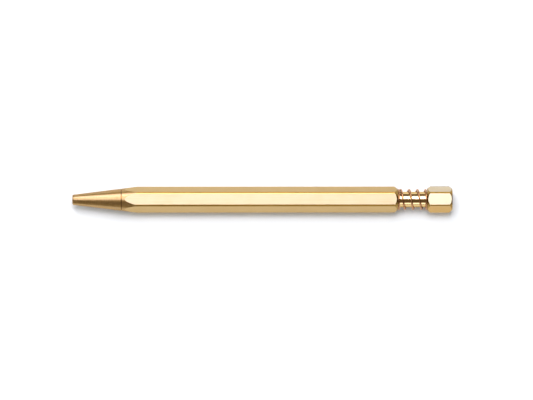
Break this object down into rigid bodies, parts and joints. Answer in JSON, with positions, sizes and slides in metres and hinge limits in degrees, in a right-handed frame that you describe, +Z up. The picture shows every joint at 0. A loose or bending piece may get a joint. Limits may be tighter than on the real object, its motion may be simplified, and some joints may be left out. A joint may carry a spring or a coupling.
{
  "type": "ballpoint pen",
  "caption": "Retractable ballpoint pen in brass with a hexagonal barrel, a screw-off nose cone and a hexagonal push knob on a bare rod with an exposed return spring",
  "frame": {"origin": "centre of the bottom of the bounding box, under the middle of the pen's length", "axes": "+X along the pen towards the knob's end (the nib points to -X), +Y across the pen, +Z up from the flat of the hexagon that the pen rests on"},
  "size_m": [0.14, 0.0096, 0.0085],
  "materials": {
    "satin_brass": "satin, brushed along the length",
    "turned_brass": "fine turned",
    "polished_brass": "polished",
    "copper_wire": "drawn wire, smooth",
    "spring_steel": "drawn wire",
    "refill_steel": "drawn tube",
    "nickel_silver": "turned",
    "hard_metal": "ground",
    "white_acetal": "moulded",
    "grey_acetal": "moulded",
    "ink_paste": "wet",
    "follower_grease": "clear and soft"
  },
  "bodies": {
    "barrel": {"barrel": "satin_brass", "rod_bush": "polished_brass", "cam_sleeve": "white_acetal", "rod_spring": "copper_wire"},
    "plunger": {"knob": "satin_brass", "push_rod": "polished_brass", "thrust_cam": "grey_acetal"},
    "refill": {"refill_tube": "refill_steel", "nib_socket": "nickel_silver", "refill_ink": "ink_paste", "refill_grease": "follower_grease", "refill_plug": "grey_acetal"},
    "rotor": {"index_rotor": "white_acetal"},
    "ball": {"nib_ball": "hard_metal"},
    "spring": {"refill_spring": "spring_steel"},
    "nose": {"nose_cone": "turned_brass"}
  },
  "joints": [
    {"name": "knob_press", "type": "slide", "parent": "barrel", "child": "plunger", "axis": [-1, 0, 0], "range_m": [0, 0.0055], "stiffness_N_per_m": 900, "springref_m": -0.0015, "deforming": ["rod_spring"]},
    {"name": "refill_feed", "type": "slide", "parent": "barrel", "child": "refill", "axis": [-1, 0, 0], "range_m": [0, 0.005], "deforming": ["refill_spring"]},
    {"name": "rotor_index", "type": "hinge", "parent": "refill", "child": "rotor", "pos_m": [0.035, 0, 0.00425], "axis": [1, 0, 0], "range_deg": [0, 22.5]},
    {"name": "ball_roll", "type": "hinge", "parent": "refill", "child": "ball", "pos_m": [-0.0683, 0, 0.00425], "axis": [0, 1, 0], "continuous": true},
    {"name": "nose_draw", "type": "slide", "parent": "barrel", "child": "spring", "axis": [-1, 0, 0], "range_m": [0, 0.0045]},
    {"name": "nose_turn", "type": "hinge", "parent": "spring", "child": "nose", "pos_m": [-0.06, 0, 0.00425], "axis": [-1, 0, 0], "range_deg": [0, 2161]}
  ],
  "couplings": [
    {"joint": "refill_feed", "follows": "knob_press", "ratio": 0.909},
    {"joint": "rotor_index", "follows": "knob_press", "rad_per_m": 71.39},
    {"joint": "nose_turn", "follows": "nose_draw", "rad_per_m": 8377.6}
  ]
}
